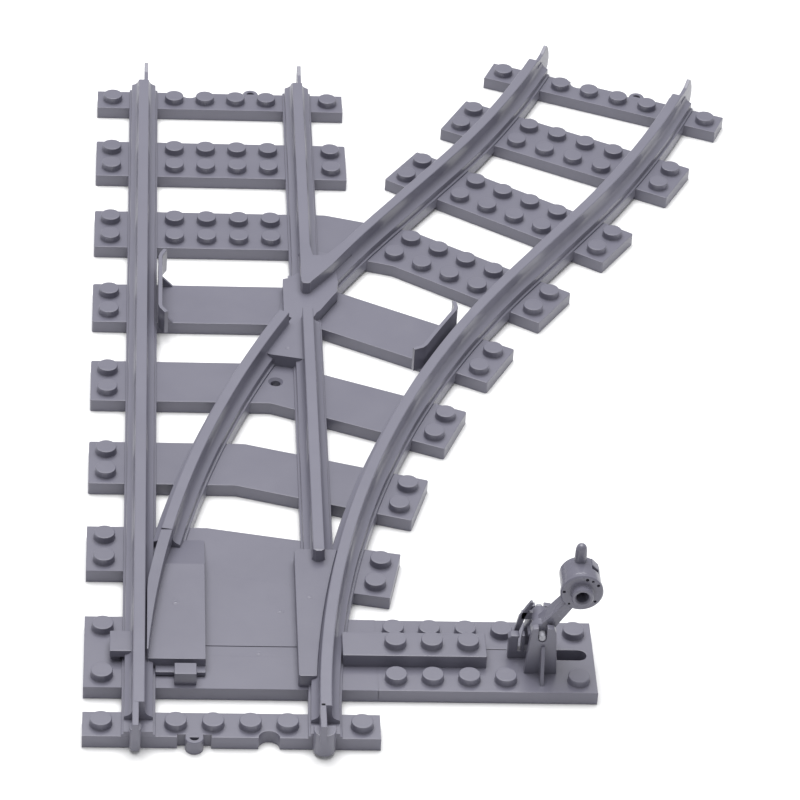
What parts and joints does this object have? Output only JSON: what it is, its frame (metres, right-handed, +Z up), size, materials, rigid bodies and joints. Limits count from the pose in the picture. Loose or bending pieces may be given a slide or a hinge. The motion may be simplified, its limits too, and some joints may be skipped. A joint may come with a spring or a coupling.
{
  "type": "model turnout switch",
  "caption": "Right-hand toy railway turnout with studded sleepers, a sliding tongue and a throw lever on a side stand.",
  "frame": {"origin": "under the middle of the whole turnout's footprint, on the plane that the sleepers rest on", "axes": "+Y along the straight track, from the points to the frog; +X towards the diverging track; +Z up"},
  "size_m": [0.1646, 0.2796, 0.0332],
  "materials": {
    "sleepers": "moulded ABS, dark bluish grey, satin",
    "rails": "moulded ABS, dark bluish grey, glossy",
    "fittings": "moulded ABS, dark bluish grey, satin",
    "points": "moulded ABS, dark bluish grey, satin",
    "lever": "moulded ABS, dark bluish grey, glossy",
    "pin": "moulded ABS, lighter grey"
  },
  "bodies": {
    "base": {"near_end_sleeper": "sleepers", "throat_sleeper": "sleepers", "deck_plate": "sleepers", "stand_arm": "sleepers", "sleeper_2": "sleepers", "sleeper_3": "sleepers", "sleeper_4": "sleepers", "sleeper_5": "sleepers", "sleeper_6": "sleepers", "sleeper_7": "sleepers", "far_end_sleeper": "sleepers", "branch_sleeper_7": "sleepers", "branch_sleeper_8": "sleepers", "branch_end_sleeper": "sleepers", "left_stock_rail": "rails", "curved_stock_rail": "rails", "left_closure_rail": "rails", "right_closure_rail": "rails", "main_exit_rail": "rails", "branch_exit_rail": "rails", "left_check_rail": "rails", "right_check_rail": "rails", "frog_casting": "rails", "frog_vee": "rails", "flange_plate": "fittings", "right_rod_cover": "fittings", "left_rod_cover": "fittings", "retainer_tab": "fittings", "front_bracket": "fittings", "rear_bracket": "fittings"},
    "slide": {"tongue": "points", "throw_rod": "points", "drive_fork": "points"},
    "lever": {"lever_arm": "lever", "lever_target": "lever", "lever_grip": "lever", "pivot_pin": "pin"}
  },
  "joints": [
    {"name": "tongue_throw", "type": "slide", "parent": "base", "child": "slide", "axis": [1, 0, 0], "range_m": [0, 0.004]},
    {"name": "lever_pivot", "type": "hinge", "parent": "base", "child": "lever", "pos_m": [0.01724, -0.10821, 0.013], "axis": [0, -1, 0], "range_deg": [0, 70]}
  ],
  "couplings": [
    {"joint": "lever_pivot", "follows": "tongue_throw", "rad_per_m": 305.4}
  ]
}
